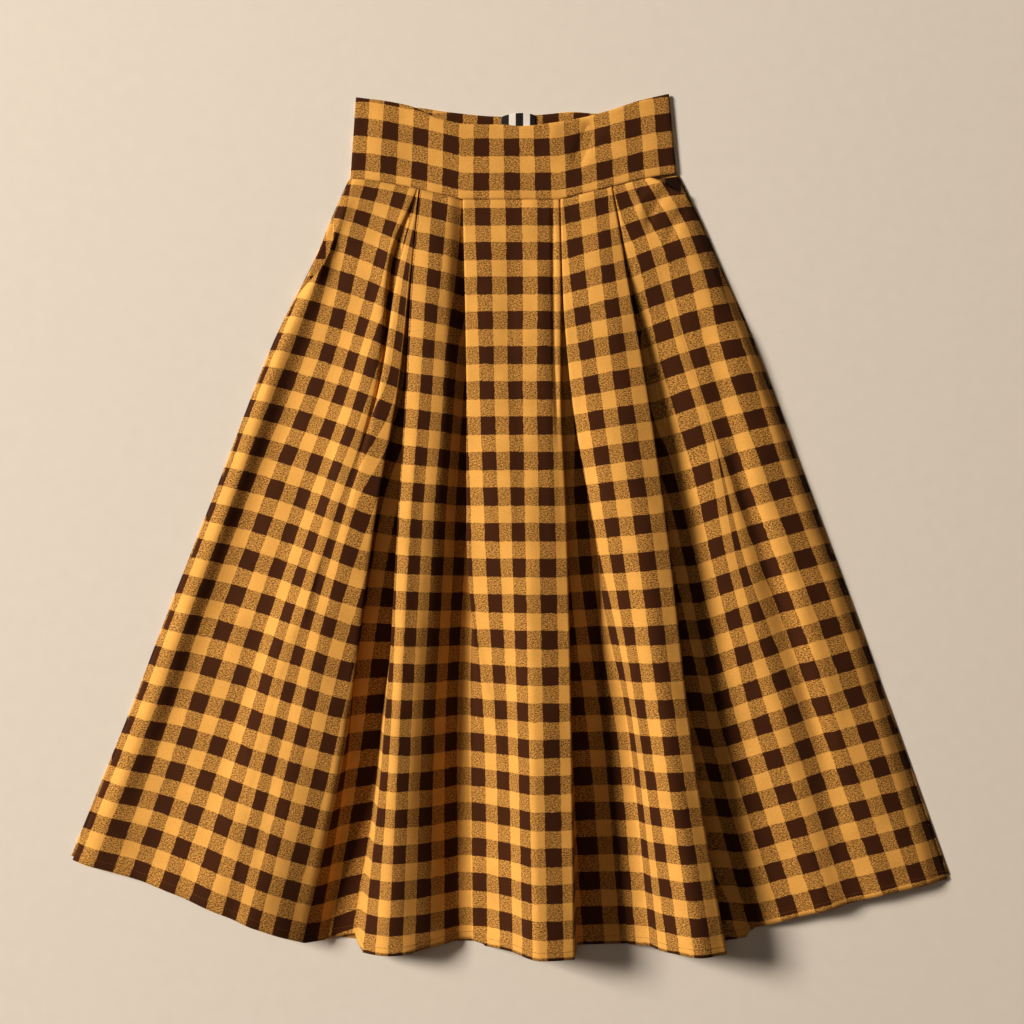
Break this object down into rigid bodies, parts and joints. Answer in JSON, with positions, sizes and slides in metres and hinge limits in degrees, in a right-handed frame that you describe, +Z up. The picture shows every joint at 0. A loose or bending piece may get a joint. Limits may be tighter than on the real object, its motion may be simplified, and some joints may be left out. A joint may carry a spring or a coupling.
{
  "type": "swing skirt",
  "caption": "Checked cotton swing skirt laid flat, pleated front flaring from a deep scooped waistband, side pockets, centre back closure, plain label",
  "frame": {"origin": "the middle of the skirt's footprint, on the surface that it lies on", "axes": "+Z up off the surface, +Y from the hem to the waist, +X to the right as the skirt is seen from above"},
  "size_m": [0.9524, 0.9243, 0.0625],
  "materials": {
    "cloth": "soft brushed cotton twill in a mustard and dark brown gingham check",
    "tape": "dark brown woven zip tape",
    "label": "smooth black damask woven label, plain"
  },
  "bodies": {
    "root": {"skirt_front": "cloth", "skirt_back_left": "cloth", "skirt_back_right": "cloth", "waistband_front": "cloth", "waistband_back_left": "cloth", "waistband_back_right": "cloth", "zip": "tape", "pocket_left": "cloth", "pocket_right": "cloth", "label": "label"}
  },
  "joints": []
}
